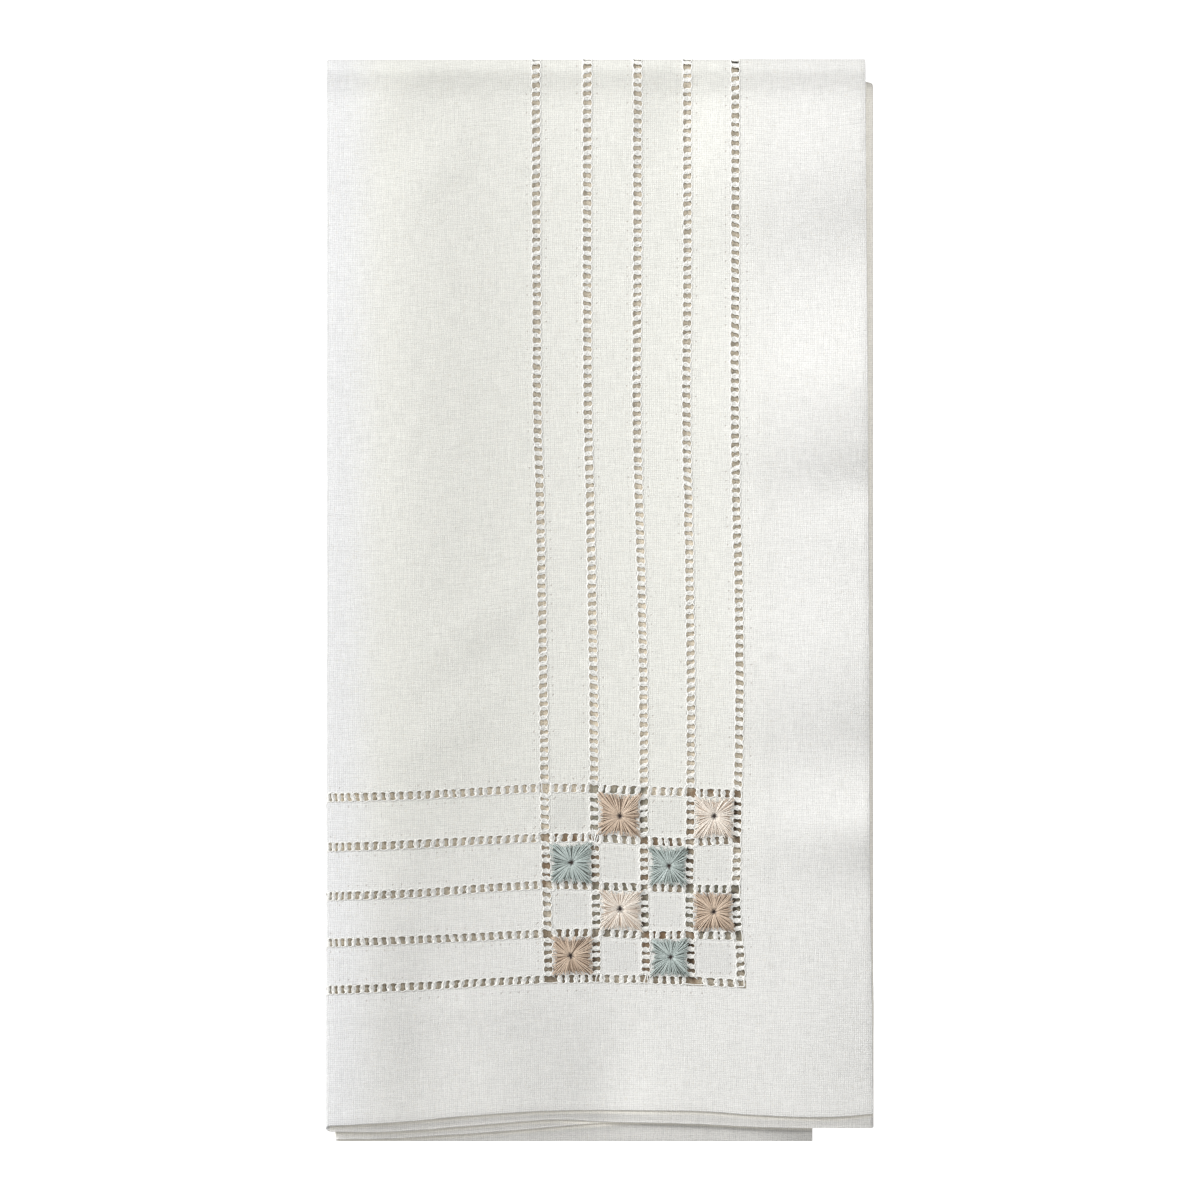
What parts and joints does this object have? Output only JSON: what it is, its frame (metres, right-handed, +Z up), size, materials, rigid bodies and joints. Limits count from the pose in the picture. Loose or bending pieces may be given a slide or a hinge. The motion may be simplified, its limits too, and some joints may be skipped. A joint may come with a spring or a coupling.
{
  "type": "cloth napkin",
  "caption": "Ivory linen cloth napkin folded into a flat rectangular packet, with drawn-thread ladder borders and a corner lattice of small embroidered squares.",
  "frame": {"origin": "centre of the folded packet's box, on the surface it lies on", "axes": "+X across the packet towards the open side hem, +Y along it towards the folded top, +Z up"},
  "size_m": [0.1364, 0.2702, 0.0124],
  "materials": {
    "linen": "plain-weave ivory linen, matt",
    "hemstitch_thread": "soft ivory sewing thread",
    "tan_floss": "stranded cotton, soft sheen",
    "cream_floss": "stranded cotton, soft sheen",
    "grey_blue_floss": "stranded cotton, soft sheen"
  },
  "bodies": {
    "root": {"napkin_cloth": "linen"}
  },
  "joints": []
}
